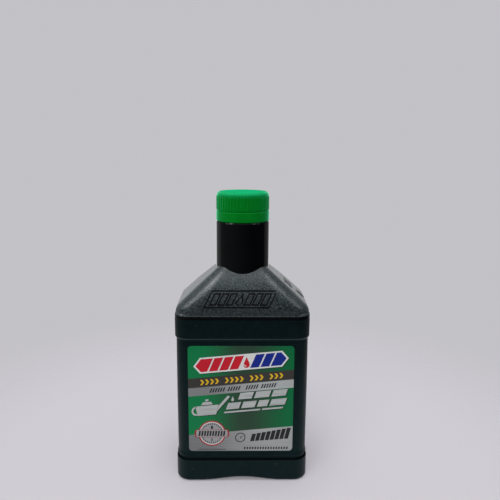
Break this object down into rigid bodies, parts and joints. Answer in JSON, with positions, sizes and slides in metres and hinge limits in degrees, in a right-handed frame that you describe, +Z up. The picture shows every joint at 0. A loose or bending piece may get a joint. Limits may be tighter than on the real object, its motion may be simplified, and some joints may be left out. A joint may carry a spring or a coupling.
{
  "type": "motor oil bottle",
  "caption": "Black one-quart oil bottle with a hipped shoulder, a tall neck, a ribbed green screw cap with its tamper ring, and a printed front label.",
  "frame": {"origin": "on the floor plane under the middle of the bottle's base", "axes": "+Z up through the neck, +X along the bottle's width, and the label faces -Y"},
  "size_m": [0.1026, 0.067, 0.2247],
  "materials": {
    "black_shell": "fine satin blow-moulded polyethylene, glossier on the neck",
    "green_closure": "moulded polypropylene with a soft sheen",
    "white_liner": "foamed sealing sheet",
    "label_film": "printed film, green and silver",
    "oil_fill": "clear amber oil"
  },
  "bodies": {
    "bottle": {"bottle": "black_shell", "tamper_ring": "green_closure", "front_label": "label_film", "oil": "oil_fill"},
    "liner": {"cap_liner": "white_liner"},
    "cap": {"cap": "green_closure"}
  },
  "joints": [
    {"name": "cap_lift", "type": "slide", "parent": "bottle", "child": "liner", "axis": [0, 0, 1], "range_m": [0, 0.01693]},
    {"name": "cap_turn", "type": "hinge", "parent": "liner", "child": "cap", "pos_m": [0, 0, 0.21], "axis": [0, 0, 1], "range_deg": [0, 1440]}
  ],
  "couplings": [
    {"joint": "cap_lift", "follows": "cap_turn", "m_per_rad": 0.0006737}
  ]
}
